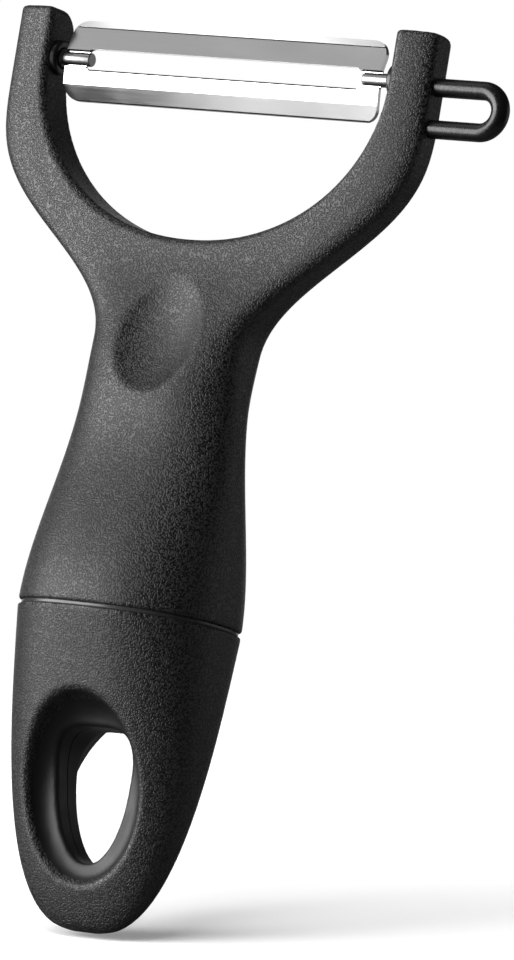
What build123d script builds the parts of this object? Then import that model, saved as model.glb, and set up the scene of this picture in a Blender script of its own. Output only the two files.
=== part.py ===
# Y-shaped vegetable peeler, millimetres.
# X runs across from arm to arm, Y from front to back, Z up the handle.
# The origin is the middle of the hang hole, half way through the end cap.

import os
from math import atan2, cos, degrees, pi, sin

from build123d import *

os.makedirs("parts", exist_ok=True)

# Heights above the hang hole
tip_z = -20.1
seam_z = 26.9
neck_z = 67.7
neck_depth_z = 58.0
arm_depth_z = 84.0
shoulder_z = 109.5
arm_top_z = 117.9
pivot_z = 110.4

# Half widths across X
seam_half_width = 16.4
neck_half_width = 13.0
arm_thickness = 6.7

# Half depths along Y
seam_half_depth = 14.2
neck_half_depth = 7.4
arm_half_depth = 3.85

# The handle's sections stand this far forward of the arms
handle_forward = 2.0

# Section shapes, where 2 is an ellipse and more is squarer
handle_square_share = 2.5
arm_square_share = 5.8
section_points = 24
paddle_stations = 20

# Flare from the neck out to the arms, early at its start and slow at its end
flare_start_share = 2.1
flare_end_share = 5.0

# End cap, its profile is a rounded egg seen from the front and from the side
cap_width_share = 2.7
cap_depth_share = 1.0
tip_half_depth = 2.8
tip_blunt_share = 4.0
cap_stations = 10
cap_end_share = 0.96

# Gap between the arms
gap_half_width = 30.2
gap_bottom_z = 84.0
gap_square_share = 2.1
gap_points = 8
arm_rear_corner_radius = 4.2

# Thumb dimple on the front of the neck
dimple_z = 69.7
dimple_half_width = 7.9
dimple_half_height = 10.9
dimple_reach = 3.4
dimple_depth = 1.7

# Seam between grip and end cap, with the joint collar showing in it
groove_height = 0.7
groove_depth = 0.5
spigot_half_width = 11.5
spigot_half_depth = 9.0
spigot_up = 13.0
spigot_down = 6.5
spigot_wall = 2.4
socket_clearance = 0.05

# Dishes and hang hole in the end cap
dish_z = 0.5
dish_half_width = 10.0
dish_half_height = 13.7
dish_dig = 3.5
hang_web = 5.8
web_forward = 1.6
web_lean = 7.0
insert_margin = 0.5
hole_half_width = 6.1
hole_half_height = 10.0
hole_swell_share = 0.2
hole_upper_share = 3.5
hole_lower_share = 2.2
hole_points = 24
parting_height = 0.3
parting_depth = 0.3

# Blade, a shallow channel strip with a slot along its crown
blade_end_gap = 2.6
blade_thickness = 0.8
blade_crown_y = -0.9
upper_band_top = 6.1
upper_lean = 1.2
top_bevel_height = 1.1
top_bevel_lean = 0.6
lower_band_bottom = 6.3
slot_facet_height = 2.4
slot_facet_lean = 0.35
lower_lean = 1.0
slot_web = 3.1
slot_half_height = 1.55
blade_upper_corner = 3.0
blade_lower_corner = 2.4

# Journals and the bushes they turn in
journal_radius = 1.4
journal_clearance = 0.06
journal_end_gap = 0.3
bush_wall = 1.2
bush_standout = 0.9
bush_depth = 2.4

# Eye remover, a bent rod set into the outside of the right arm
rod_radius = 1.4
leg_drop = 0.5
leg_pitch = 6.25
leg_reach = 8.2
leg_socket_wall = 1.5


def ease(z, low, high):
    """Share from 0 to 1 between two heights, level at both ends."""
    share = min(max((z - low) / (high - low), 0), 1)
    return share * share * (3 - 2 * share)


def flare(z):
    """Share of the way out from the neck's width to the arms' width."""
    share = min(max((z - neck_z) / (shoulder_z - neck_z), 0), 1)
    return 1 - (1 - share**flare_start_share) ** flare_end_share


def grip_half_width(z):
    grip = seam_half_width + (neck_half_width - seam_half_width) * ease(z, seam_z, neck_z)
    return grip + (arm_half_width - neck_half_width) * flare(z)


def grip_half_depth(z):
    lower = (neck_half_depth - seam_half_depth) * ease(z, seam_z, neck_depth_z)
    upper = (arm_half_depth - neck_half_depth) * ease(z, neck_depth_z, arm_depth_z)
    return seam_half_depth + lower + upper


def grip_forward(z):
    return handle_forward * (1 - ease(z, neck_depth_z, arm_depth_z))


def grip_square(z):
    rise = arm_square_share - handle_square_share
    return handle_square_share + rise * ease(z, neck_depth_z, arm_depth_z)


def slice_face(z, half_width, half_depth, forward, square):
    """Level slice of the body, a rounded rectangle drawn by formula."""
    points = []
    for i in range(section_points):
        turn = 2 * pi * i / section_points
        c, s = cos(turn), sin(turn)
        x = half_width * abs(c) ** (2 / square) * (1 if c > 0 else -1)
        y = half_depth * abs(s) ** (2 / square) * (1 if s > 0 else -1)
        points.append((x, y - forward))
    return Plane.XY.offset(z) * make_face(Spline(*points, periodic=True))


def egg_share(share, power):
    """How full the egg profile still is at a share of its height."""
    return (1 - share**power) ** (1 / power)


def cap_deep_share(share):
    """How deep the end cap still is, a taper that ends in a blunt tip."""
    blunt = tip_half_depth / seam_half_depth
    taper = (1 - blunt) * egg_share(share, cap_depth_share)
    return taper + blunt * egg_share(share, tip_blunt_share)


def cap_deep_share_at(z):
    return cap_deep_share((cap_top_z - z) / cap_height)


def ball(half_x, half_y, half_z):
    """Ball stretched to three half sizes."""
    return scale(Sphere(half_z), (half_x / half_z, half_y / half_z, 1))


def half_space(side):
    """Block larger than the end cap, on one side of its own middle plane."""
    width, depth = 2 * seam_half_width, 2 * seam_half_depth
    return Box(width, depth, 2 * width, align=(Align.CENTER, side, Align.CENTER))


def rod_along_x(start_x, z, radius, length):
    """Round bar that runs out along X from a start point."""
    bar = Cylinder(radius, length, align=(Align.CENTER, Align.CENTER, Align.MIN))
    return Pos(start_x, 0, z) * Rot(0, 90, 0) * bar


def hole_outline(margin):
    """Egg outline of the hang hole, wide end up, grown by a margin."""
    points = []
    for i in range(hole_points):
        turn = 2 * pi * i / hole_points
        c, s = cos(turn), sin(turn)
        square = hole_upper_share if s > 0 else hole_lower_share
        rise = abs(s) ** (2 / square) * (1 if s > 0 else -1)
        reach = abs(c) ** (2 / square) * (1 if c > 0 else -1)
        wide = (hole_half_width + margin) * (1 + hole_swell_share * rise)
        points.append((wide * reach, (hole_half_height + margin) * rise))
    return make_face(Spline(*points, periodic=True))


front_plane = Plane(origin=(0, 0, 0), x_dir=(1, 0, 0), z_dir=(0, -1, 0))
arm_half_width = gap_half_width + arm_thickness
cap_top_z = seam_z - groove_height / 2
cap_height = cap_top_z - tip_z

# Yoke and grip as one paddle, before the gap is taken out
grip_bottom_z = seam_z + groove_height / 2
paddle_step = (arm_top_z - grip_bottom_z) / paddle_stations
paddle_slices = []
for i in range(paddle_stations + 1):
    z = grip_bottom_z + paddle_step * i
    paddle_slices.append(
        slice_face(
            z, grip_half_width(z), grip_half_depth(z), grip_forward(z), grip_square(z)
        )
    )
paddle = loft(paddle_slices)

# Gap between the arms, open at the top
gap_height = pivot_z - gap_bottom_z
right_half = []
for i in range(gap_points + 1):
    turn = pi / 2 * i / gap_points
    x = gap_half_width * sin(turn) ** (2 / gap_square_share)
    drop = gap_height * cos(turn) ** (2 / gap_square_share)
    right_half.append((x, pivot_z - drop))
left_half = [(-x, z) for x, z in reversed(right_half[1:])]
gap_curve = Spline(*left_half, *right_half, tangents=[(0, -1), (0, 1)])
gap_top_z = arm_top_z + arm_thickness
gap_face = make_face(
    gap_curve
    + Line((gap_half_width, pivot_z), (gap_half_width, gap_top_z))
    + Line((gap_half_width, gap_top_z), (-gap_half_width, gap_top_z))
    + Line((-gap_half_width, gap_top_z), (-gap_half_width, pivot_z))
)
gap = extrude(front_plane * gap_face, amount=seam_half_depth, both=True)

# Large rounding at the rear top corner of each arm
corner_y = arm_half_depth - arm_rear_corner_radius
corner_z = arm_top_z - arm_rear_corner_radius
corner_block = Pos(0, corner_y, corner_z) * Box(
    3 * arm_half_width,
    2 * arm_rear_corner_radius,
    2 * arm_rear_corner_radius,
    align=(Align.CENTER, Align.MIN, Align.MIN),
)
corner_round = Pos(0, corner_y, corner_z) * Rot(0, 90, 0) * Cylinder(
    arm_rear_corner_radius, 3 * arm_half_width
)
corner_cut = corner_block - corner_round

# Dimple, a stretched ball that lies along the sloping front of the neck
dimple_foot_z = dimple_z - dimple_half_height
dimple_head_z = dimple_z + dimple_half_height
dimple_foot_y = -grip_forward(dimple_foot_z) - grip_half_depth(dimple_foot_z)
dimple_head_y = -grip_forward(dimple_head_z) - grip_half_depth(dimple_head_z)
dimple_tilt = atan2(dimple_head_y - dimple_foot_y, dimple_head_z - dimple_foot_z)
neck_front_y = -grip_forward(dimple_z) - grip_half_depth(dimple_z)
dimple_ball = ball(dimple_half_width, dimple_reach, dimple_half_height)
dimple_y = neck_front_y - dimple_reach + dimple_depth
dimple = Pos(0, dimple_y, dimple_z) * Rot(-degrees(dimple_tilt), 0, 0) * dimple_ball

# Bushes, the right one then its mirror image
bush_start_x = gap_half_width - bush_standout
bush_length = bush_standout + bush_depth
bush_radius = journal_radius + journal_clearance + bush_wall
bush_bar = rod_along_x(bush_start_x, pivot_z, bush_radius, bush_length)
bush_bore = rod_along_x(
    bush_start_x, pivot_z, journal_radius + journal_clearance, bush_length
)
pivot_bush_right = bush_bar - bush_bore
pivot_bush_left = mirror(pivot_bush_right, about=Plane.YZ)

# Eye remover, swept along its U from inside the upper socket to the lower one
leg_start_x = gap_half_width + bush_depth + leg_socket_wall
leg_end_x = arm_half_width + leg_reach
upper_leg_z = pivot_z - leg_drop
lower_leg_z = upper_leg_z - leg_pitch
loop_path = front_plane * (
    Line((leg_start_x, upper_leg_z), (leg_end_x, upper_leg_z))
    + RadiusArc((leg_end_x, upper_leg_z), (leg_end_x, lower_leg_z), leg_pitch / 2)
    + Line((leg_end_x, lower_leg_z), (leg_start_x, lower_leg_z))
)
rod_start = Plane(origin=(leg_start_x, 0, upper_leg_z), z_dir=(1, 0, 0))
eye_remover_loop = sweep(rod_start * Circle(rod_radius), path=loop_path)

# Joint collar, a band that shows in the groove and a spigot each way
collar_axis = Pos(0, -handle_forward, seam_z)
spigot_face = Ellipse(spigot_half_width, spigot_half_depth)
bore_face = Ellipse(spigot_half_width - spigot_wall, spigot_half_depth - spigot_wall)
socket_face = Ellipse(
    spigot_half_width + socket_clearance, spigot_half_depth + socket_clearance
)
band_face = slice_face(
    seam_z - groove_height / 2,
    seam_half_width - groove_depth,
    seam_half_depth - groove_depth,
    handle_forward,
    handle_square_share,
)
collar_band = extrude(band_face, amount=groove_height, dir=(0, 0, 1))
upper_spigot = collar_axis * extrude(spigot_face, amount=spigot_up)
lower_spigot = collar_axis * extrude(spigot_face, amount=-spigot_down)
collar_bore = collar_axis * extrude(bore_face, amount=spigot_up + spigot_down, both=True)
joint_collar = collar_band + upper_spigot + lower_spigot - collar_bore
upper_socket = collar_axis * extrude(socket_face, amount=spigot_up + socket_clearance)
lower_socket = collar_axis * extrude(socket_face, amount=-spigot_down - socket_clearance)

yoke_handle = (
    paddle
    - gap
    - corner_cut
    - dimple
    - upper_socket
    - bush_bar
    - mirror(bush_bar, about=Plane.YZ)
    - eye_remover_loop
)

# End cap, slices taken down the egg profile to a blunt tip
cap_slices = []
for i in range(cap_stations + 1):
    share = sin(pi / 2 * cap_end_share * i / cap_stations)
    wide = egg_share(share, cap_width_share)
    deep = cap_deep_share(share)
    cap_slices.append(
        slice_face(
            cap_top_z - cap_height * share,
            seam_half_width * wide,
            seam_half_depth * deep,
            handle_forward * deep,
            handle_square_share,
        )
    )
cap_body = loft(cap_slices)

# Dishes, a stretched ball in front and one behind, cut off flat at the web's faces
dish_middle = cap_deep_share_at(dish_z)
dish_rise = cap_deep_share_at(dish_z + dish_half_height) - cap_deep_share_at(
    dish_z - dish_half_height
)
front_depth = (seam_half_depth + handle_forward) * dish_middle
rear_depth = (seam_half_depth - handle_forward) * dish_middle
front_tilt = atan2((seam_half_depth + handle_forward) * dish_rise, 2 * dish_half_height)
rear_tilt = atan2((seam_half_depth - handle_forward) * dish_rise, 2 * dish_half_height)
front_ball = ball(
    dish_half_width,
    front_depth - web_forward - hang_web / 2 + dish_dig,
    dish_half_height / cos(front_tilt),
)
rear_ball = ball(
    dish_half_width,
    rear_depth + web_forward - hang_web / 2 + dish_dig,
    dish_half_height / cos(rear_tilt),
)
front_dish = Pos(0, -front_depth, dish_z) * Rot(degrees(front_tilt), 0, 0) * front_ball
rear_dish = Pos(0, rear_depth, dish_z) * Rot(-degrees(rear_tilt), 0, 0) * rear_ball
web_frame = Pos(0, -web_forward, dish_z) * Rot(web_lean, 0, 0)
front_dish = front_dish & web_frame * Pos(0, -hang_web / 2, 0) * half_space(Align.MAX)
rear_dish = rear_dish & web_frame * Pos(0, hang_web / 2, 0) * half_space(Align.MIN)
dished_cap = cap_body - front_dish - rear_dish

# Smooth inserts fill a window in the cap and meet at the parting line
window_face = Pos(0, dish_z) * Ellipse(
    dish_half_width - insert_margin, dish_half_height - insert_margin
)
window = extrude(front_plane * window_face, amount=2 * seam_half_depth, both=True)
hang_hole = extrude(front_plane * hole_outline(0), amount=seam_half_depth, both=True)
parting = web_frame * extrude(
    front_plane * Pos(0, -dish_z) * hole_outline(parting_depth),
    amount=parting_height / 2,
    both=True,
)
front_half = web_frame * half_space(Align.MAX)
insert = (dished_cap & window) - hang_hole - parting
dish_insert_front = insert & front_half
dish_insert_rear = insert - front_half
end_cap = dished_cap - window - lower_socket

# Blade strip drawn in the side view
upper_y = blade_crown_y + upper_lean
top_y = upper_y + top_bevel_lean
facet_y = blade_crown_y + slot_facet_lean
lower_y = facet_y + lower_lean
bevel_z = upper_band_top - top_bevel_height
facet_z = -slot_half_height - slot_facet_height
strip_face = make_face(
    Polyline(
        (blade_crown_y, slot_half_height),
        (upper_y, bevel_z),
        (top_y, upper_band_top),
        (top_y + blade_thickness, upper_band_top),
        (upper_y + blade_thickness, bevel_z),
        (blade_crown_y + blade_thickness, slot_half_height),
        (blade_crown_y + blade_thickness, -slot_half_height),
        (facet_y + blade_thickness, facet_z),
        (lower_y + blade_thickness, -lower_band_bottom),
        (lower_y, -lower_band_bottom),
        (facet_y, facet_z),
        (blade_crown_y, -slot_half_height),
        close=True,
    )
)
blade_half_length = gap_half_width - blade_end_gap
blade_height = upper_band_top + lower_band_bottom
strip = extrude(Plane.YZ * strip_face, blade_half_length, both=True)

# Slot along the crown and rounded corners, cut from the front
slot_half_length = blade_half_length - slot_web
slot_face = SlotOverall(2 * slot_half_length, 2 * slot_half_height)
slot = extrude(front_plane * slot_face, amount=blade_height, both=True)
blade_face = Pos(0, (upper_band_top - lower_band_bottom) / 2) * Rectangle(
    2 * blade_half_length, blade_height
)
blade_face = fillet(blade_face.vertices().group_by(Axis.Y)[0], blade_lower_corner)
blade_face = fillet(blade_face.vertices().group_by(Axis.Y)[-1], blade_upper_corner)
blade_plan = extrude(front_plane * blade_face, amount=blade_height, both=True)

# Journals run from the slot's ends into the bushes
journal_end_x = gap_half_width + bush_depth - journal_end_gap
journal = rod_along_x(
    slot_half_length, 0, journal_radius, journal_end_x - slot_half_length
)
flat_blade = (strip & blade_plan) - slot + journal + mirror(journal, about=Plane.YZ)
blade = Pos(0, 0, pivot_z) * flat_blade

export_step(yoke_handle, "parts/yoke_handle.step")
export_step(end_cap, "parts/end_cap.step")
export_step(dish_insert_front, "parts/dish_insert_front.step")
export_step(dish_insert_rear, "parts/dish_insert_rear.step")
export_step(joint_collar, "parts/joint_collar.step")
export_step(pivot_bush_right, "parts/pivot_bush_right.step")
export_step(pivot_bush_left, "parts/pivot_bush_left.step")
export_step(eye_remover_loop, "parts/eye_remover_loop.step")
export_step(blade, "parts/blade.step")
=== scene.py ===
# Looks of the Y-shaped vegetable peeler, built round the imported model.
# X runs across from arm to arm, Y from front to back, Z up the handle.
# Shapes are worked out in millimetres and turned into metres when a mesh is made.

import math

import bpy
import numpy as np
from mathutils import Matrix, Vector


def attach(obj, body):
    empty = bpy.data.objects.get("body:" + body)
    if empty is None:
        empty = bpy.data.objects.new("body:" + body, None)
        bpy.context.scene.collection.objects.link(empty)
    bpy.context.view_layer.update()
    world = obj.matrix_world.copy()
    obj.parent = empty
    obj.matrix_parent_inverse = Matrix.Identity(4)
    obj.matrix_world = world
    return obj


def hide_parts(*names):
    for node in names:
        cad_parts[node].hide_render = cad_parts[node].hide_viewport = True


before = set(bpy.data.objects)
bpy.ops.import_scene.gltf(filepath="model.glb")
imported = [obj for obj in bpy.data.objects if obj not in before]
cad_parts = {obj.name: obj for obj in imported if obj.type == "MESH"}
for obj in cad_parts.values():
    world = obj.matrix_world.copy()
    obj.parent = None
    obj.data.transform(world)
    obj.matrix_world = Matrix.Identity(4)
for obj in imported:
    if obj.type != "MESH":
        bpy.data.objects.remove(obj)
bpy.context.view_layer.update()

MM = 0.001
STEP = 0.4
LEFT, RIGHT = -1, 1
FRONT, REAR = -1, 1

# Sizes down to the eye remover's follow the CAD model's.
# Heights above the hang hole
TIP_Z = -20.1
SEAM_Z = 26.9
NECK_DEPTH_Z = 58.0
NECK_Z = 67.7
ARM_DEPTH_Z = 84.0
SHOULDER_Z = 109.5
PIVOT_Z = 110.4
ARM_TOP_Z = 117.9

# Half widths across X
SEAM_W = 16.4
NECK_W = 13.0
ARM_W = 36.9

# Half depths along Y, and how far forward of the arms the handle's sections stand
SEAM_D = 14.2
NECK_D = 7.4
ARM_D = 3.85
FORWARD = 2.0

# Section shapes, where 2 is an ellipse and more is squarer
HANDLE_SQ = 2.5
ARM_SQ = 5.8

# Flare from the neck out to the arms, early at its start and slow at its end
FLARE_START = 2.1
FLARE_END = 5.0

# End cap's egg profile from the front and from the side, and its blunt tip
CAP_W_POWER = 2.7
CAP_D_POWER = 1.0
TIP_D = 2.8
TIP_BLUNT = 4.0

# Gap between the arms
GAP_W = 30.2
GAP_BOTTOM_Z = 84.0
GAP_SQ = 2.1

# Rounding at the rear top corner of each arm
REAR_CORNER = 4.2

# Thumb dimple on the front of the neck
DIMPLE_Z = 69.7
DIMPLE_W = 7.9
DIMPLE_H = 10.9
DIMPLE_REACH = 3.4
DIMPLE_DEPTH = 1.7

# Groove between grip and end cap
GROOVE = 0.7
CAP_TOP_Z = SEAM_Z - GROOVE / 2
GRIP_BOTTOM_Z = SEAM_Z + GROOVE / 2
CAP_H = CAP_TOP_Z - TIP_Z

# Dishes in the end cap and the leaning web between them
DISH_Z = 0.5
DISH_W = 10.0
DISH_H = 13.7
DISH_DIG = 3.5
WEB = 5.8
WEB_Y = -1.6
WEB_LEAN = math.radians(7)
WINDOW_IN = 0.5

# Hang hole, its wide end and squarer half up
HOLE_W = 6.1
HOLE_H = 10.0
HOLE_SWELL = 0.2
HOLE_UPPER_SQ = 3.5
HOLE_LOWER_SQ = 2.2
HOLE_CHANGE = 3

# Bushes in the arms
BUSH_R = 2.66
BUSH_OUT = 0.9
BUSH_DEEP = 2.4

# Eye remover, a bent rod
ROD_R = 1.4
UPPER_LEG_Z = PIVOT_Z - 0.5
LOWER_LEG_Z = PIVOT_Z - 6.75
LEG_START_X = 34.1
LEG_END_X = 45.1

# Roundings of the edges
ARM_TOP_EDGE = 0.9
REAR_CORNER_EDGE = 0.6
GAP_EDGE = 1.1
DIMPLE_EDGE = 0.5
SEAM_EDGE = 0.35
TIP_EDGE = 1.0
TIP_FLAT = 0.15
DISH_EDGE = 1.3
WEB_EDGE = 1.5
HOLE_EDGE = 0.6

# Boxes that the grip and the end cap are meshed in, low corner and high corner
GRIP_BOX = (-38.6, -17.4, 26.2), (38.6, 13.4, 118.8)
CAP_BOX = (-17.4, -17.4, -20.6), (17.4, 13.6, 27.2)

# Cutting tools: their half length, how deep the parting one goes, and their clearance
TOOL_REACH = 30
TOOL_FAR = 40
TOOL_CLEAR = 0.01

# How far inside the gap a socket's tool starts, and how far each insert stops from the parting line
SOCKET_RUN_IN = 1.4
PARTING = 0.11

# Collar band as how far it lies inside the grip's outline, and height from the seam
BAND_SIDES = 160
BAND_PROFILE = (
    (2.0, -0.6),
    (0.62, -0.45),
    (0.5, -0.3),
    (0.44, -0.12),
    (0.44, 0.12),
    (0.5, 0.3),
    (0.62, 0.45),
    (2.0, 0.6),
)

# Bush as distance from the middle and radius, from the bore's end round the mouth
BUSH_SIDES = 72
BORE_R = 1.46
MOUTH_X = GAP_W - BUSH_OUT
BUSH_END_X = GAP_W + BUSH_DEEP - 0.05
BUSH_PROFILE = (
    (BUSH_END_X, BORE_R),
    (MOUTH_X + 0.35, BORE_R),
    (MOUTH_X + 0.1, 1.55),
    (MOUTH_X, 1.75),
    (MOUTH_X, 2.35),
    (MOUTH_X + 0.08, 2.56),
    (MOUTH_X + 0.3, BUSH_R),
    (BUSH_END_X, BUSH_R),
)

# Journal as distance from the middle and radius, a neck and then the rolled pin
TURNED_SIDES = 64
JOURNAL_PROFILE = (
    (24.15, 0.95),
    (24.22, 1.02),
    (24.32, 1.05),
    (28.95, 1.05),
    (29.15, 1.38),
    (29.25, 1.4),
    (32.15, 1.4),
    (32.3, 1.3),
)

# Steps along the rod's legs, round its bend and round the rod
LEG_STEPS = 14
BEND_STEPS = 40
ROD_SIDES = 40

# Blade strip from the side, as depth and height from the pivot, each line from the top down.
# The front has the bevel with its crease, the hollow at the slot, two facets and the foot.
BLADE_FRONT = (
    (0.9, 6.1),
    (0.38, 5.12),
    (0.56, 5.06),
    (0.52, 4.98),
    (0.3, 4.92),
    (-0.99, 1.28),
    (-0.35, 1.1),
    (-0.35, -1.1),
    (-0.95, -1.28),
    (-0.58, -3.95),
    (0.36, -6.12),
    (0.56, -6.16),
    (0.62, -6.3),
)
BLADE_BACK = ((1.7, 6.1), (1.1, 5.0), (-0.1, 1.55), (-0.1, -1.55), (0.22, -3.95), (1.25, -6.3))

# Blade and slot from the front: sides, foot and top, and corner radii from the lower left round
BLADE_SIDES = -28.3, 27.3
BLADE_ENDS = -6.3, 6.1
BLADE_CORNERS = 2.6, 2.4, 3.0, 2.0
SLOT_SIDES = -24.9, 24.2
SLOT_ENDS = -1.55, 1.55
SLOT_CORNERS = 0.9, 0.9, 1.5, 1.5
BLADE_TOOL_REACH = 4
BLADE_EDGE_WIDTH = 0.06 * MM

# What is ground away at the slot's lower lip to leave the cutting edge
GROUND_SIDES = -24.2, 23.5
GROUND_OFF = ((-2, -1.3), (-0.45, -1.3), (-0.45, -1.5), (-0.9, -1.86), (-2, -1.86))

# Painted shade lines on the blade: the shadow beside the journals, in the crease under the bevel and
# along the foot
BESIDE_X = 24.1
BESIDE_Z = 1.2
BESIDE_HALF = 0.11
CREASE_Z = 5.0
CREASE_HALF = 0.08
FOOT_Z = -6.14

# Camera: degrees round, up and rolled, pixels to a millimetre, offset in pixels, metres away
VIEW_AZIMUTH = 33.0
VIEW_ELEVATION = -6.0
VIEW_ROLL = 9.35
VIEW_SCALE = 6.74
VIEW_OFFSET = -95.0, -12.5
VIEW_DISTANCE = 1.5
PICTURE_HEIGHT = 960
SENSOR_HEIGHT = 24

# Floor, which leans under the standing peeler and fades out round the place it touches
FLOOR_NORMAL = (-0.007, -0.276, 0.961)
FLOOR_BELOW_TIP = 0.0006
FLOOR_HALF = 1.2
FLOOR_FADE = 0.16, 0.4
PAPER_UNSEEN = 0.12
PAPER_SEEN = 0.9
PAPER_GLOW = 0.14

# World: its level for plain light, and in reflections from the dark front to the white behind
WORLD_LIGHT = 0.25
WORLD_FRONT = 0.03
WORLD_BEHIND = 0.86, 0.96

# Lamps in metres and watts: name, azimuth, elevation, distance, width, height, power
HANDLE_MIDDLE = (0, 0, 0.05)
HANDLE_LAMPS = (
    ("key", -46, 2, 0.9, 0.76, 0.75, 15.5),
    ("top", -56, 64, 0.8, 0.45, 0.4, 0.3),
    ("card", -43, 37.5, 0.9, 0.3, 0.24, 0.11),
    ("side", 142, 8, 0.9, 0.7, 0.6, 0.55),
)
WIDE_LAMP = ("wide", -8, 46, 0.9, 0.8, 0.7, 7.0)
BLADE_MIDDLE = (0, 0, 0.104)
BLADE_CARD_PLACE = (-0.092, -0.197, -0.02)
BLADE_CARD = (0.12, 0.08, 0.026)
BEVEL_CARD = ("bevel_card", -57, 52, 0.2, 0.08, 0.03, 0.012)


# Distance fields
def ease(z, low, high):
    """Smooth share of the way from one height to another."""
    t = np.clip((z - low) / (high - low), 0, 1)
    return t * t * (3 - 2 * t)


def smooth_max(a, b, radius):
    """The larger of two distances, with the edge between them rounded."""
    h = np.clip(0.5 + 0.5 * (a - b) / radius, 0, 1)
    return b + (a - b) * h + radius * h * (1 - h)


def round_max(a, b, radius):
    """The larger of two distances, with a true arc of that radius at the edge."""
    u, v = np.maximum(a + radius, 0), np.maximum(b + radius, 0)
    return np.minimum(np.maximum(a, b), -radius) + np.hypot(u, v)


def super_distance(x, y, a, b, n):
    """Distance from a rounded rectangle's outline of half sizes a and b."""
    u, v = np.abs(x) / a + 1e-6, np.abs(y) / b + 1e-6
    r = (u**n + v**n) ** (1 / n)
    slope = r ** (1 - n) * np.hypot(u ** (n - 1) / a, v ** (n - 1) / b)
    return (r - 1) / np.maximum(slope, 1e-3)


def ball_distance(x, y, z, a, b, c):
    """Distance from a stretched ball of half sizes a, b and c."""
    k0 = np.sqrt((x / a) ** 2 + (y / b) ** 2 + (z / c) ** 2) + 1e-9
    k1 = np.sqrt((x / a**2) ** 2 + (y / b**2) ** 2 + (z / c**2) ** 2) + 1e-9
    return k0 * (k0 - 1) / k1


def tilted(y, z, angle):
    """Y and Z measured along axes that are tilted about X."""
    c, s = math.cos(angle), math.sin(angle)
    return c * y - s * z, s * y + c * z


def grip_sizes(z):
    """Half width, half depth, step forward and squareness of the grip at a height."""
    t = np.clip((z - NECK_Z) / (SHOULDER_Z - NECK_Z), 0, 1)
    flare = 1 - (1 - t**FLARE_START) ** FLARE_END
    wide = SEAM_W + (NECK_W - SEAM_W) * ease(z, SEAM_Z, NECK_Z) + (ARM_W - NECK_W) * flare
    thin = ease(z, NECK_DEPTH_Z, ARM_DEPTH_Z)
    deep = SEAM_D + (NECK_D - SEAM_D) * ease(z, SEAM_Z, NECK_DEPTH_Z) + (ARM_D - NECK_D) * thin
    return wide, deep, FORWARD * (1 - thin), HANDLE_SQ + (ARM_SQ - HANDLE_SQ) * thin


def grip_front(z):
    """Y of the grip's front face at a height."""
    wide, deep, forward, square = grip_sizes(np.array(z))
    return -(deep + forward)


def rear_corner_distance(y, z):
    """Distance from the arc at the rear top corner of the arms, and inside below them."""
    back = np.maximum(y - (ARM_D - REAR_CORNER), 0)
    up = np.maximum(z - (ARM_TOP_Z - REAR_CORNER), 0)
    return np.where(z > SHOULDER_Z, np.hypot(back, up) - REAR_CORNER, -REAR_CORNER)


def gap_distance(x, z):
    """Distance from the gap between the arms, which is open at the top."""
    low = super_distance(x, np.minimum(z - PIVOT_Z, 0), GAP_W, PIVOT_Z - GAP_BOTTOM_Z, GAP_SQ)
    return np.where(z < PIVOT_Z, low, np.abs(x) - GAP_W)


def dimple_distance(x, y, z):
    """Distance from a stretched ball that lies along the neck's sloping front."""
    slant = grip_front(DIMPLE_Z + DIMPLE_H) - grip_front(DIMPLE_Z - DIMPLE_H)
    middle = grip_front(DIMPLE_Z) - DIMPLE_REACH + DIMPLE_DEPTH
    y, z = tilted(y - middle, z - DIMPLE_Z, math.atan2(slant, 2 * DIMPLE_H))
    return ball_distance(x, y, z, DIMPLE_W, DIMPLE_REACH, DIMPLE_H)


def grip_field(x, y, z):
    """Distance from the yoke and the grip as one piece."""
    wide, deep, forward, square = grip_sizes(z)
    body = super_distance(x, y + forward, wide, deep, square)
    body = round_max(body, z - ARM_TOP_Z, ARM_TOP_EDGE)
    body = round_max(body, rear_corner_distance(y, z), REAR_CORNER_EDGE)
    body = round_max(body, -gap_distance(x, z), GAP_EDGE)
    body = smooth_max(body, -dimple_distance(x, y, z), DIMPLE_EDGE)
    return round_max(body, GRIP_BOTTOM_Z - z, SEAM_EDGE)


def egg(share, power):
    """Share of the full size that is left at a share of the way to the tip."""
    return np.maximum(1 - share**power, 1e-4) ** (1 / power)


def cap_deep(share):
    """How deep the cap still is, a taper that ends in a blunt tip."""
    blunt = TIP_D / SEAM_D
    return (1 - blunt) * egg(share, CAP_D_POWER) + blunt * egg(share, TIP_BLUNT)


def cap_deep_at(z):
    return cap_deep((CAP_TOP_Z - z) / CAP_H)


def dish_ball(side):
    """Centre depth, tilt and half sizes of the front or the rear dish."""
    reach = SEAM_D - side * FORWARD
    deep = reach * cap_deep_at(DISH_Z)
    slant = reach * (cap_deep_at(DISH_Z + DISH_H) - cap_deep_at(DISH_Z - DISH_H))
    tilt = math.atan2(slant, 2 * DISH_H)
    dig = deep - side * WEB_Y - WEB / 2 + DISH_DIG
    return side * deep, tilt, (DISH_W, dig, DISH_H / math.cos(tilt))


def web_distance(y, z):
    """Distance behind the web's leaning middle plane."""
    return (y - WEB_Y) * math.cos(WEB_LEAN) + (z - DISH_Z) * math.sin(WEB_LEAN)


def dish_field(x, y, z, side):
    """Distance from what the front or the rear dish takes away."""
    centre, tilt, sizes = dish_ball(side)
    ball = ball_distance(x, *tilted(y - centre, z - DISH_Z, side * tilt), *sizes)
    return smooth_max(ball, WEB / 2 - side * web_distance(y, z), WEB_EDGE)


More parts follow.
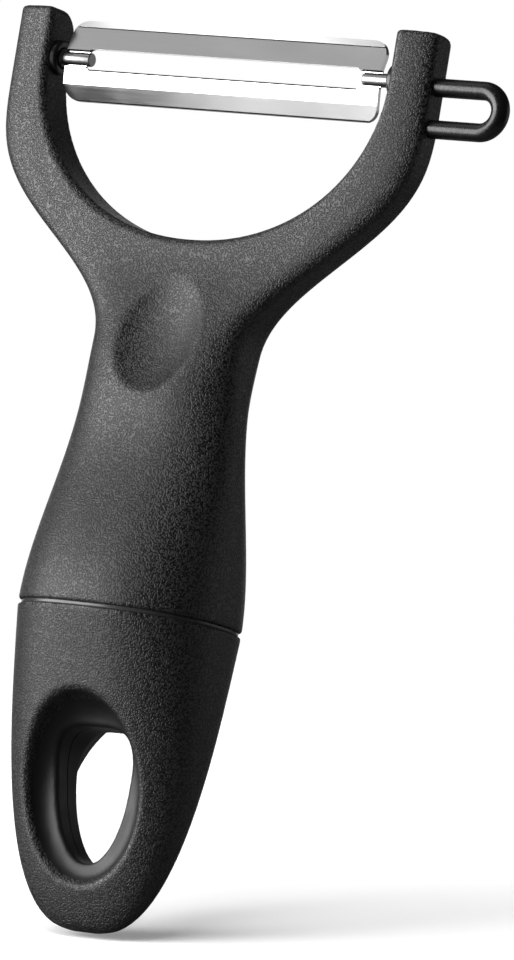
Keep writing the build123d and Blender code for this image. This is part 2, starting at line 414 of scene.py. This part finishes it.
def hole_distance(x, z):
    """Distance from the hang hole's outline."""
    wide = HOLE_W * (1 + HOLE_SWELL * np.clip(z / HOLE_H, -1, 1))
    upper = ease(z, -HOLE_CHANGE, HOLE_CHANGE)
    return super_distance(x, z, wide, HOLE_H, HOLE_LOWER_SQ + (HOLE_UPPER_SQ - HOLE_LOWER_SQ) * upper)


def cap_field(x, y, z):
    """Distance from the end cap with its dishes and hole."""
    share = np.clip((CAP_TOP_Z - z) / CAP_H, 0, 1)
    wide, deep = egg(share, CAP_W_POWER), cap_deep(share)
    body = super_distance(x, y + FORWARD * deep, SEAM_W * wide, SEAM_D * deep, HANDLE_SQ)
    body = round_max(body, TIP_Z + TIP_FLAT - z, TIP_EDGE)
    body = round_max(body, z - CAP_TOP_Z, SEAM_EDGE)
    for side in (FRONT, REAR):
        body = smooth_max(body, -dish_field(x, y, z, side), DISH_EDGE)
    return round_max(body, -hole_distance(x, z), HOLE_EDGE)


# Meshes
def corners_inside(inside):
    """How many of each cell's eight corners are inside."""
    count = np.zeros(tuple(n - 1 for n in inside.shape), np.int8)
    for start in np.ndindex(2, 2, 2):
        count += inside[tuple(slice(a, a + n) for a, n in zip(start, count.shape))]
    return count


def quads_along(inside, index, axis):
    """Quads round the grid edges of one axis that cross the surface, facing out."""
    e, f = (axis + 1) % 3, (axis + 2) % 3
    near, far = [slice(1, -1)] * 3, [slice(1, -1)] * 3
    near[axis] = slice(0, -1)
    far[axis] = slice(1, None)
    near, far = inside[tuple(near)], inside[tuple(far)]
    quads = []
    for crossing, turn in ((far & ~near, -1), (near & ~far, 1)):
        ring = []
        for de, df in ((0, 0), (1, 0), (1, 1), (0, 1)):
            cell = np.argwhere(crossing)
            cell[:, e] += de
            cell[:, f] += df
            ring.append(index[tuple(cell.T)])
        quads.append(np.stack(ring, 1)[:, ::turn])
    return np.concatenate(quads)


def draw_onto(field, points, step, rounds=5):
    """Moves points along a field's slope onto its zero surface."""
    h = step * 0.05
    longest = step * 0.6
    for _ in range(rounds):
        value = field(*points.T)
        rises = [field(*(points + h * axis).T) - field(*(points - h * axis).T) for axis in np.eye(3)]
        slope = np.stack(rises, 1) / (2 * h)
        size = np.maximum((slope**2).sum(1), 0.05)
        move = -(value / size)[:, None] * slope
        length = np.linalg.norm(move, axis=1, keepdims=True)
        points += move * np.minimum(1, longest / np.maximum(length, 1e-9))


def net(field, low, high, step):
    """Quad mesh of a field's zero surface, its points drawn onto the surface."""
    axes = [np.arange(a, b + step, step) for a, b in zip(low, high)]
    inside = field(*np.meshgrid(*axes, indexing="ij")) < 0
    corners = corners_inside(inside)
    active = (corners > 0) & (corners < 8)
    index = np.full(active.shape, -1, np.int64)
    index[active] = np.arange(active.sum())
    cells = np.argwhere(active)
    points = np.stack([axes[d][cells[:, d]] + step / 2 for d in range(3)], 1)
    draw_onto(field, points, step)
    return points, np.concatenate([quads_along(inside, index, axis) for axis in range(3)])


def add_object(name, data):
    obj = bpy.data.objects.new(name, data)
    bpy.context.scene.collection.objects.link(obj)
    return obj


def quad_mesh(name, points, faces):
    """Object from arrays of points and of quads."""
    mesh = bpy.data.meshes.new(name)
    mesh.vertices.add(len(points))
    mesh.vertices.foreach_set("co", (points * MM).ravel())
    mesh.loops.add(len(faces) * 4)
    mesh.loops.foreach_set("vertex_index", faces.ravel().astype(np.int32))
    mesh.polygons.add(len(faces))
    mesh.polygons.foreach_set("loop_start", np.arange(0, len(faces) * 4, 4, dtype=np.int32))
    mesh.update(calc_edges=True)
    mesh.validate()
    return add_object(name, mesh)


def plain_mesh(name, points, faces):
    """Object from lists of points and of faces."""
    mesh = bpy.data.meshes.new(name)
    mesh.from_pydata([(x * MM, y * MM, z * MM) for x, y, z in points], [], faces)
    return add_object(name, mesh)


def skin(name, rings, joined=False):
    """Mesh over rings of points, closed by its end rings or by joining the last to the first."""
    sides, count = len(rings[0]), len(rings)
    faces = []
    for k in range(count if joined else count - 1):
        here, there = k * sides, (k + 1) % count * sides
        for i in range(sides):
            j = (i + 1) % sides
            faces.append((here + i, here + j, there + j, there + i))
    if not joined:
        faces.append(tuple(range(sides - 1, -1, -1)))
        faces.append(tuple((count - 1) * sides + i for i in range(sides)))
    return plain_mesh(name, [point for ring in rings for point in ring], faces)


def prism(name, low, high):
    """Closed solid between two outlines of as many points."""
    n = len(low)
    faces = [tuple(range(n)), tuple(range(2 * n - 1, n - 1, -1))]
    faces += [(i, n + i, n + (i + 1) % n, (i + 1) % n) for i in range(n)]
    return plain_mesh(name, low + high, faces)


def prism_y(name, outline, reach):
    """Closed prism along Y, as far forward as back, from points in X and Z."""
    return prism(name, *[[(x, y, z) for x, z in outline] for y in (-reach, reach)])


def prism_x(name, outline, x_low, x_high, foot):
    """Closed prism along X from points in Y and height above its foot."""
    return prism(name, *[[(x, y, foot + z) for y, z in outline] for x in (x_low, x_high)])


def turns(count):
    """Angles evenly round a full turn."""
    return [2 * math.pi * i / count for i in range(count)]


def pivot_rings(profile, side, sides):
    """Rings round the pivot line from points of distance from the middle and radius."""
    rings = [
        [(side * x, r * math.cos(t), PIVOT_Z + r * math.sin(t)) for t in turns(sides)]
        for x, r in profile
    ]
    return rings[::side]


def ellipse(a, b, centre_z, count=96):
    return [(a * math.cos(t), centre_z + b * math.sin(t)) for t in turns(count)]


def rounded(sides, ends, radii, count=12):
    """Rounded rectangle round the pivot with its own corner radii, from the lower left round."""
    corners = (
        (sides[0], ends[0], 1, 1),
        (sides[1], ends[0], -1, 1),
        (sides[1], ends[1], -1, -1),
        (sides[0], ends[1], 1, -1),
    )
    outline = []
    for k, ((x, z, sx, sz), r) in enumerate(zip(corners, radii)):
        start = math.pi + k * math.pi / 2
        for i in range(count + 1):
            t = start + math.pi / 2 * i / count
            outline.append((x + sx * r + r * math.cos(t), z + sz * r + r * math.sin(t) + PIVOT_Z))
    return outline


def apply(obj, modifier):
    bpy.context.view_layer.objects.active = obj
    bpy.ops.object.modifier_apply(modifier=modifier.name)


def cut(obj, tool, operation):
    """Applies an exact boolean and drops the tool."""
    modifier = obj.modifiers.new("cut", "BOOLEAN")
    modifier.operation, modifier.object, modifier.solver = operation, tool, "EXACT"
    apply(obj, modifier)
    bpy.data.objects.remove(tool)


def shade_smooth(obj):
    obj.data.polygons.foreach_set("use_smooth", [True] * len(obj.data.polygons))


def sharpen(obj, degrees):
    """Marks edges sharper than an angle, so that the rest shades smoothly."""
    shade_smooth(obj)
    obj.data.set_sharp_from_angle(angle=math.radians(degrees))


# Shader nodes
def feed(tree, socket, value):
    """Sets a socket to a number, or links another socket to it."""
    if isinstance(value, (int, float)):
        socket.default_value = value
    else:
        tree.links.new(value, socket)


def grey(level):
    return (level, level, level)


def new_material(name, colour, roughness, metallic=0.0):
    material = bpy.data.materials.new(name)
    material.use_nodes = True
    shader = material.node_tree.nodes["Principled BSDF"]
    shader.inputs["Base Color"].default_value = (*colour, 1)
    shader.inputs["Roughness"].default_value = roughness
    shader.inputs["Metallic"].default_value = metallic
    shader.inputs["Specular IOR Level"].default_value = 0.5
    return material, material.node_tree, shader


def add_noise(tree, scale, detail=2.0, stretch=(1, 1, 1), seed=0.0):
    """Noise in object space with a size in parts per metre."""
    place = tree.nodes.new("ShaderNodeTexCoord")
    mapping = tree.nodes.new("ShaderNodeMapping")
    mapping.inputs["Scale"].default_value = stretch
    mapping.inputs["Location"].default_value = (seed, seed * 0.7, -seed)
    noise = tree.nodes.new("ShaderNodeTexNoise")
    noise.inputs["Scale"].default_value = scale
    noise.inputs["Detail"].default_value = detail
    tree.links.new(place.outputs["Object"], mapping.inputs["Vector"])
    tree.links.new(mapping.outputs["Vector"], noise.inputs["Vector"])
    return noise.outputs["Fac"]


def ramp(tree, source, low, high, start=0, end=1, kind="LINEAR"):
    """Maps the range from low to high onto the one from start to end."""
    node = tree.nodes.new("ShaderNodeMapRange")
    node.interpolation_type = kind
    node.inputs["From Min"].default_value = low
    node.inputs["From Max"].default_value = high
    node.inputs["To Min"].default_value = start
    node.inputs["To Max"].default_value = end
    tree.links.new(source, node.inputs["Value"])
    return node.outputs["Result"]


def tint(tree, source, dark, light):
    """Mixes two colours by a share."""
    node = tree.nodes.new("ShaderNodeMix")
    node.data_type = "RGBA"
    node.inputs["A"].default_value = (*dark, 1)
    node.inputs["B"].default_value = (*light, 1)
    tree.links.new(source, node.inputs["Factor"])
    return node.outputs["Result"]


def multiply(tree, first, second):
    """Product of two colours."""
    node = tree.nodes.new("ShaderNodeMix")
    node.data_type, node.blend_type = "RGBA", "MULTIPLY"
    node.inputs["Factor"].default_value = 1.0
    tree.links.new(first, node.inputs["A"])
    tree.links.new(second, node.inputs["B"])
    return node.outputs["Result"]


def blend(tree, share, first, second):
    """Mixes two numbers by a share."""
    node = tree.nodes.new("ShaderNodeMix")
    for name, value in (("Factor", share), ("A", first), ("B", second)):
        feed(tree, node.inputs[name], value)
    return node.outputs["Result"]


def maths(tree, operation, *values):
    """Math node fed with sockets or numbers."""
    node = tree.nodes.new("ShaderNodeMath")
    node.operation = operation
    for socket, value in zip(node.inputs, values):
        feed(tree, socket, value)
    return node.outputs["Value"]


def add(tree, first, second, share):
    """First plus a share of the second."""
    return maths(tree, "MULTIPLY_ADD", second, share, first)


def bump(tree, shader, height, strength, distance):
    node = tree.nodes.new("ShaderNodeBump")
    node.inputs["Strength"].default_value = strength
    node.inputs["Distance"].default_value = distance
    tree.links.new(height, node.inputs["Height"])
    tree.links.new(node.outputs["Normal"], shader.inputs["Normal"])


# Materials
def grained_plastic():
    """Soft-touch black with a fine spark-eroded grain, paler on its high spots."""
    material, tree, shader = new_material("grained_grip", grey(0.008), roughness=0.45)
    grain = add_noise(tree, scale=3900, detail=0)
    height = ramp(tree, grain, 0.42, 0.58)
    speck = ramp(tree, grain, 0.45, 0.58)
    bump(tree, shader, height, strength=1.0, distance=0.00005)
    feed(tree, shader.inputs["Roughness"], ramp(tree, grain, 0.44, 0.56, 0.5, 0.4))
    feed(tree, shader.inputs["Base Color"], tint(tree, speck, grey(0.001), (0.026, 0.026, 0.0262)))
    return material


def smooth_plastic():
    """The dish's finer satin black, with only moulding haze."""
    material, tree, shader = new_material("smooth_dish", grey(0.005), roughness=0.35)
    haze = add_noise(tree, scale=260, detail=3, seed=1.7)
    fine = add_noise(tree, scale=3600, detail=2, seed=0.4)
    cloud = ramp(tree, haze, 0.3, 0.7)
    colour = tint(tree, cloud, (0.004, 0.004, 0.0042), (0.007, 0.007, 0.0072))
    bump(tree, shader, add(tree, fine, haze, 0.3), strength=0.16, distance=0.00004)
    feed(tree, shader.inputs["Roughness"], ramp(tree, haze, 0.3, 0.7, 0.46, 0.56))
    feed(tree, shader.inputs["Base Color"], colour)
    return material


def collar_plastic():
    """Glossy black with a slight haze."""
    material, tree, shader = new_material("collar_gloss", (0.03, 0.03, 0.031), roughness=0.25)
    haze = add_noise(tree, scale=400, detail=2, seed=5.0)
    feed(tree, shader.inputs["Roughness"], ramp(tree, haze, 0.3, 0.7, 0.2, 0.34))
    bump(tree, shader, haze, strength=0.1, distance=0.00003)
    return material


def bush_acetal():
    """Smooth black with marks drawn out round the pivot line."""
    material, tree, shader = new_material("bush_plastic", grey(0.004), roughness=0.32)
    rings = add_noise(tree, scale=1500, detail=1, stretch=(4, 0.6, 0.6), seed=2.0)
    feed(tree, shader.inputs["Roughness"], ramp(tree, rings, 0.3, 0.7, 0.26, 0.38))
    bump(tree, shader, rings, strength=0.12, distance=0.00003)
    return material


def loop_plastic():
    """Glossy black with faint waviness."""
    material, tree, shader = new_material("loop_gloss", grey(0.003), roughness=0.3)
    waves = add_noise(tree, scale=500, detail=2, seed=7.0)
    fine = add_noise(tree, scale=2500, detail=2, seed=4.0)
    feed(tree, shader.inputs["Roughness"], ramp(tree, fine, 0.3, 0.7, 0.24, 0.36))
    bump(tree, shader, add(tree, waves, fine, 0.4), strength=0.18, distance=0.00004)
    return material


def painted_blade_shade(tree):
    """Mask of painted shade: the shadow lines beside the journals, in the crease under the bevel and
    along the foot.
    """
    place = tree.nodes.new("ShaderNodeTexCoord")
    split = tree.nodes.new("ShaderNodeSeparateXYZ")
    tree.links.new(place.outputs["Object"], split.inputs["Vector"])
    across = maths(tree, "ABSOLUTE", split.outputs["X"])
    height = maths(tree, "SUBTRACT", split.outputs["Z"], PIVOT_Z * MM)
    outside = maths(tree, "GREATER_THAN", across, BESIDE_X * MM)
    level = maths(tree, "ABSOLUTE", height)
    line = maths(tree, "COMPARE", level, BESIDE_Z * MM, BESIDE_HALF * MM)
    beside = maths(tree, "MULTIPLY", line, outside)
    under = maths(tree, "COMPARE", height, CREASE_Z * MM, CREASE_HALF * MM)
    foot = maths(tree, "LESS_THAN", height, FOOT_Z * MM)
    return maths(tree, "MAXIMUM", maths(tree, "MAXIMUM", beside, under), foot)


def polished_steel(name, light, dark, roughness, painted_shade_lines):
    """Steel polished along its length, with hairlines and a little smear, and painted shade lines
    where asked.
    """
    material, tree, shader = new_material(name, grey(light), roughness, metallic=1.0)
    lines = add_noise(tree, scale=3000, detail=3, stretch=(0.03, 1, 1), seed=1.0)
    smear = add_noise(tree, scale=120, detail=3, stretch=(0.5, 1, 1), seed=6.0)
    wear = add(tree, smear, lines, 0.4)
    polish = ramp(tree, wear, 0.4, 1.0, roughness - 0.06, roughness + 0.08)
    colour = tint(tree, ramp(tree, smear, 0.3, 0.7), grey(dark), grey(light))
    # Painted shade: darkens the steel's colour along the shadow lines beside the journals, under the
    # bevel and along the foot.
    if painted_shade_lines:
        colour = multiply(tree, colour, tint(tree, painted_blade_shade(tree), grey(1), grey(0.03)))
    feed(tree, shader.inputs["Roughness"], polish)
    feed(tree, shader.inputs["Base Color"], colour)
    bump(tree, shader, lines, strength=0.06, distance=0.00002)
    return material


GRIP = grained_plastic()
DISH = smooth_plastic()
COLLAR = collar_plastic()
BUSH = bush_acetal()
LOOP = loop_plastic()
STEEL = polished_steel("blade_steel", light=0.76, dark=0.66, roughness=0.16, painted_shade_lines=True)
# The journals get the blade's steel painted darker, painted shade that dims their bright reflection.
DARKENED_JOURNAL_STEEL = polished_steel("journal_steel", light=0.34, dark=0.24, roughness=0.32, painted_shade_lines=False)


# Pieces
def dress(obj, material, slot, body, *nodes):
    """Gives a piece its material, body and the nodes it stands for."""
    obj.data.materials.clear()
    obj.data.materials.append(material)
    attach(obj, body)
    if nodes:
        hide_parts(*nodes)


def make_grip():
    """Yoke and grip in one, with a socket in each arm for the bush."""
    grip = quad_mesh("grip_and_yoke", *net(grip_field, *GRIP_BOX, STEP))
    radius = BUSH_R + TOOL_CLEAR
    socket = ((GAP_W - SOCKET_RUN_IN, radius), (GAP_W + BUSH_DEEP, radius))
    for side in (LEFT, RIGHT):
        cut(grip, skin("socket", pivot_rings(socket, side, TURNED_SIDES)), "DIFFERENCE")
    sharpen(grip, degrees=38)
    dress(grip, GRIP, "grained_grip", "handle_body", "yoke_handle")


def window(margin=0.0):
    """Tool for the window that the dish inserts fill."""
    outline = ellipse(DISH_W - WINDOW_IN + margin, DISH_H - WINDOW_IN + margin, DISH_Z)
    return prism_y("window", outline, TOOL_REACH)


def beyond_parting(side):
    """Tool for all that lies on the other side of the leaning parting line."""
    middle = WEB_Y + side * PARTING
    lean = TOOL_REACH * math.tan(WEB_LEAN)
    outline = [
        (middle + lean, -TOOL_REACH),
        (middle - lean, TOOL_REACH),
        (-side * TOOL_FAR, TOOL_REACH),
        (-side * TOOL_FAR, -TOOL_REACH),
    ]
    return prism_x("beyond", outline[::-side], -TOOL_REACH, TOOL_REACH, DISH_Z)


def make_cap():
    """End cap and its two dish inserts, which are cut out of the cap's own mesh."""
    cap = quad_mesh("end_cap_shell", *net(cap_field, *CAP_BOX, STEP))
    for name, side in (("front", FRONT), ("rear", REAR)):
        dish = add_object("dish_" + name, cap.data.copy())
        cut(dish, window(), "INTERSECT")
        cut(dish, beyond_parting(side), "DIFFERENCE")
        sharpen(dish, degrees=40)
        dress(dish, DISH, "smooth_dish", "handle_body", "dish_insert_" + name)
    cut(cap, window(TOOL_CLEAR), "DIFFERENCE")
    sharpen(cap, degrees=40)
    dress(cap, GRIP, "grained_grip", "handle_body", "end_cap")


def signed_power(value, power):
    return math.copysign(abs(value) ** power, value)


def seam_ring(inset, z):
    """The grip's outline at the seam, drawn in by an inset."""
    a, b = SEAM_W - inset, SEAM_D - inset
    power = 2 / HANDLE_SQ
    return [
        (a * signed_power(math.cos(t), power), b * signed_power(math.sin(t), power) - FORWARD, z)
        for t in turns(BAND_SIDES)
    ]


def make_band():
    """The part of the collar that shows in the groove."""
    band = skin("collar_band", [seam_ring(inset, SEAM_Z + rise) for inset, rise in BAND_PROFILE])
    shade_smooth(band)
    dress(band, COLLAR, "collar_gloss", "handle_body", "joint_collar")


def make_bushes():
    for side, name in ((LEFT, "left"), (RIGHT, "right")):
        bush = skin("bush_" + name, pivot_rings(BUSH_PROFILE, side, BUSH_SIDES), joined=True)
        sharpen(bush, degrees=50)
        dress(bush, BUSH, "bush_plastic", "handle_body", "pivot_bush_" + name)


def rod_path():
    """Points of the rod's middle line in X and Z, each with the way it runs."""
    middle, half = (UPPER_LEG_Z + LOWER_LEG_Z) / 2, (UPPER_LEG_Z - LOWER_LEG_Z) / 2
    length = LEG_END_X - LEG_START_X
    path = [((LEG_START_X + length * i / LEG_STEPS, UPPER_LEG_Z), (1, 0)) for i in range(LEG_STEPS)]
    for i in range(BEND_STEPS + 1):
        t = math.pi / 2 - math.pi * i / BEND_STEPS
        c, s = math.cos(t), math.sin(t)
        path.append(((LEG_END_X + half * c, middle + half * s), (s, -c)))
    for i in range(1, LEG_STEPS + 1):
        path.append(((LEG_END_X - length * i / LEG_STEPS, LOWER_LEG_Z), (-1, 0)))
    return path


def make_loop():
    """Eye remover rod, rings of points set square to its path."""
    rings = []
    for (x, z), (along_x, along_z) in rod_path():
        ring = []
        for t in turns(ROD_SIDES):
            out = ROD_R * math.cos(t)
            ring.append((x - along_z * out, ROD_R * math.sin(t), z + along_x * out))
        rings.append(ring)
    loop = skin("eye_remover_rod", rings)
    sharpen(loop, degrees=50)
    dress(loop, LOOP, "loop_gloss", "handle_body", "eye_remover_loop")


def make_blade():
    """Strip trimmed to its outline, slotted, ground at the slot and eased along its edges."""
    blade = prism_x("blade_strip", [*BLADE_BACK, *BLADE_FRONT[::-1]], *BLADE_SIDES, PIVOT_Z)
    plan = rounded(BLADE_SIDES, BLADE_ENDS, BLADE_CORNERS)
    slot = rounded(SLOT_SIDES, SLOT_ENDS, SLOT_CORNERS)
    cut(blade, prism_y("plan", plan, BLADE_TOOL_REACH), "INTERSECT")
    cut(blade, prism_y("slot", slot, BLADE_TOOL_REACH), "DIFFERENCE")
    cut(blade, prism_x("ground", GROUND_OFF, *GROUND_SIDES, PIVOT_Z), "DIFFERENCE")
    bevel = blade.modifiers.new("bevel", "BEVEL")
    bevel.width, bevel.segments = BLADE_EDGE_WIDTH, 2
    bevel.limit_method, bevel.angle_limit = "ANGLE", math.radians(50)
    apply(blade, bevel)
    sharpen(blade, degrees=6)
    dress(blade, STEEL, "blade_steel", "blade_body", "blade")


def make_journals():
    for side, name in ((LEFT, "left"), (RIGHT, "right")):
        journal = skin("journal_" + name, pivot_rings(JOURNAL_PROFILE, side, TURNED_SIDES))
        sharpen(journal, degrees=40)
        dress(journal, DARKENED_JOURNAL_STEEL, "blade_steel", "blade_body")


# Camera, floor, world and lamps
def direction(azimuth, elevation):
    """Way out from the object, where azimuth 0 is the front and 90 its right."""
    a, e = math.radians(azimuth), math.radians(elevation)
    return Vector((math.sin(a) * math.cos(e), -math.cos(a) * math.cos(e), math.sin(e)))


def aim_camera():
    """Long lens whose picture puts the handle's middle at an offset in pixels."""
    a, r = math.radians(VIEW_AZIMUTH), math.radians(VIEW_ROLL)
    back = direction(VIEW_AZIMUTH, VIEW_ELEVATION)
    right = Vector((math.cos(a), math.sin(a), 0))
    up = back.cross(right)
    x_axis = right * math.cos(r) + up * math.sin(r)
    y_axis = up * math.cos(r) - right * math.sin(r)
    offset_x, offset_y = [pixels / VIEW_SCALE * MM for pixels in VIEW_OFFSET]
    middle = Vector(HANDLE_MIDDLE)
    place = middle + back * VIEW_DISTANCE
    aim = middle - x_axis * offset_x + y_axis * offset_y
    z_axis = (place - aim).normalized()
    x_axis = y_axis.cross(z_axis).normalized()
    y_axis = z_axis.cross(x_axis)
    data = bpy.data.cameras.new("camera")
    data.sensor_fit, data.sensor_height = "VERTICAL", SENSOR_HEIGHT
    data.lens = SENSOR_HEIGHT * VIEW_DISTANCE * VIEW_SCALE / MM / PICTURE_HEIGHT
    data.clip_start, data.clip_end = 0.05, 20
    turn = Matrix((x_axis, y_axis, z_axis)).transposed()
    camera = add_object("camera", data)
    camera.matrix_world = Matrix.Translation(place) @ turn.to_4x4()
    bpy.context.scene.camera = camera


def floor_paper(touch):
    """Matt paper, paler to the camera, clear from below and far from the place touched."""
    paper = bpy.data.materials.new("floor_paper")
    paper.use_nodes = True
    tree = paper.node_tree
    tree.nodes.clear()
    ray = tree.nodes.new("ShaderNodeLightPath").outputs["Is Camera Ray"]
    matte = tree.nodes.new("ShaderNodeBsdfDiffuse")
    feed(tree, matte.inputs["Color"], tint(tree, ray, grey(PAPER_UNSEEN), grey(PAPER_SEEN)))
    glow = tree.nodes.new("ShaderNodeEmission")
    feed(tree, glow.inputs["Strength"], maths(tree, "MULTIPLY", ray, PAPER_GLOW))
    solid = tree.nodes.new("ShaderNodeAddShader")
    feed(tree, solid.inputs[0], matte.outputs[0])
    feed(tree, solid.inputs[1], glow.outputs[0])
    away = tree.nodes.new("ShaderNodeVectorMath")
    away.operation = "DISTANCE"
    away.inputs[1].default_value = tuple(touch)
    feed(tree, away.inputs[0], tree.nodes.new("ShaderNodeTexCoord").outputs["Object"])
    far = ramp(tree, away.outputs["Value"], *FLOOR_FADE, kind="SMOOTHSTEP")
    below = tree.nodes.new("ShaderNodeNewGeometry").outputs["Backfacing"]
    clear = tree.nodes.new("ShaderNodeBsdfTransparent")
    pick = tree.nodes.new("ShaderNodeMixShader")
    feed(tree, pick.inputs[0], maths(tree, "MAXIMUM", far, below))
    feed(tree, pick.inputs[1], solid.outputs[0])
    feed(tree, pick.inputs[2], clear.outputs[0])
    out = tree.nodes.new("ShaderNodeOutputMaterial")
    feed(tree, out.inputs["Surface"], pick.outputs[0])
    return paper


def make_floor():
    """Square of paper just under the end cap's tip, its normal up."""
    normal = Vector(FLOOR_NORMAL).normalized()
    touch = Vector((0, 0, TIP_Z * MM)) - normal * FLOOR_BELOW_TIP
    across = normal.cross(Vector((0, 1, 0))).normalized() * FLOOR_HALF
    along = normal.cross(across)
    corners = [touch + across * i + along * j for i, j in ((-1, -1), (1, -1), (1, 1), (-1, 1))]
    mesh = bpy.data.meshes.new("floor")
    mesh.from_pydata([tuple(corner) for corner in corners], [], [(0, 1, 2, 3)])
    if mesh.polygons[0].normal.dot(normal) < 0:
        mesh.flip_normals()
    floor = add_object("floor", mesh)
    floor.data.materials.append(floor_paper(touch))


def make_world():
    """White to the camera, plain light on the object, and white only behind it in reflections."""
    world = bpy.data.worlds.new("studio")
    bpy.context.scene.world = world
    world.use_nodes = True
    tree = world.node_tree
    tree.nodes.clear()
    ray = tree.nodes.new("ShaderNodeLightPath")
    toward = tree.nodes.new("ShaderNodeVectorMath")
    toward.operation = "DOT_PRODUCT"
    toward.inputs[1].default_value = tuple(-direction(VIEW_AZIMUTH, VIEW_ELEVATION))
    feed(tree, toward.inputs[0], tree.nodes.new("ShaderNodeTexCoord").outputs["Generated"])
    behind = ramp(tree, toward.outputs["Value"], *WORLD_BEHIND, kind="SMOOTHSTEP")
    reflected = ramp(tree, behind, 0, 1, WORLD_FRONT, 1.0)
    unseen = blend(tree, ray.outputs["Is Glossy Ray"], WORLD_LIGHT, reflected)
    back = tree.nodes.new("ShaderNodeBackground")
    back.inputs["Color"].default_value = (*grey(1), 1)
    feed(tree, back.inputs["Strength"], blend(tree, ray.outputs["Is Camera Ray"], unseen, 1.0))
    out = tree.nodes.new("ShaderNodeOutputWorld")
    feed(tree, out.inputs["Surface"], back.outputs[0])


def area_lamp(name, place, target, width, height, power):
    light = bpy.data.lights.new(name, "AREA")
    light.shape, light.size, light.size_y = "RECTANGLE", width, height
    light.energy = power
    lamp = add_object(name, light)
    lamp.visible_camera = False
    lamp.location = place
    lamp.rotation_euler = (Vector(target) - Vector(place)).to_track_quat("-Z", "Y").to_euler()
    return lamp


def lamp_round(middle, target, name, azimuth, elevation, distance, width, height, power):
    """Lamp placed by its direction from a middle and turned to a target."""
    place = Vector(middle) + direction(azimuth, elevation) * distance
    return area_lamp(name, place, target, width, height, power)


def make_lamps():
    """Lamps on the handle, a wide one for the floor's shadow, and two cards for the blade."""
    for lamp in HANDLE_LAMPS:
        lamp_round(HANDLE_MIDDLE, HANDLE_MIDDLE, *lamp)
    wide = lamp_round(HANDLE_MIDDLE, (0, 0, 0), *WIDE_LAMP)
    wide.visible_glossy = False
    area_lamp("blade_card", BLADE_CARD_PLACE, BLADE_MIDDLE, *BLADE_CARD)
    lamp_round(BLADE_MIDDLE, BLADE_MIDDLE, *BEVEL_CARD)


make_grip()
make_cap()
make_band()
make_bushes()
make_loop()
make_blade()
make_journals()

aim_camera()
make_floor()
make_world()
make_lamps()
bpy.context.scene.view_settings.view_transform = "Standard"
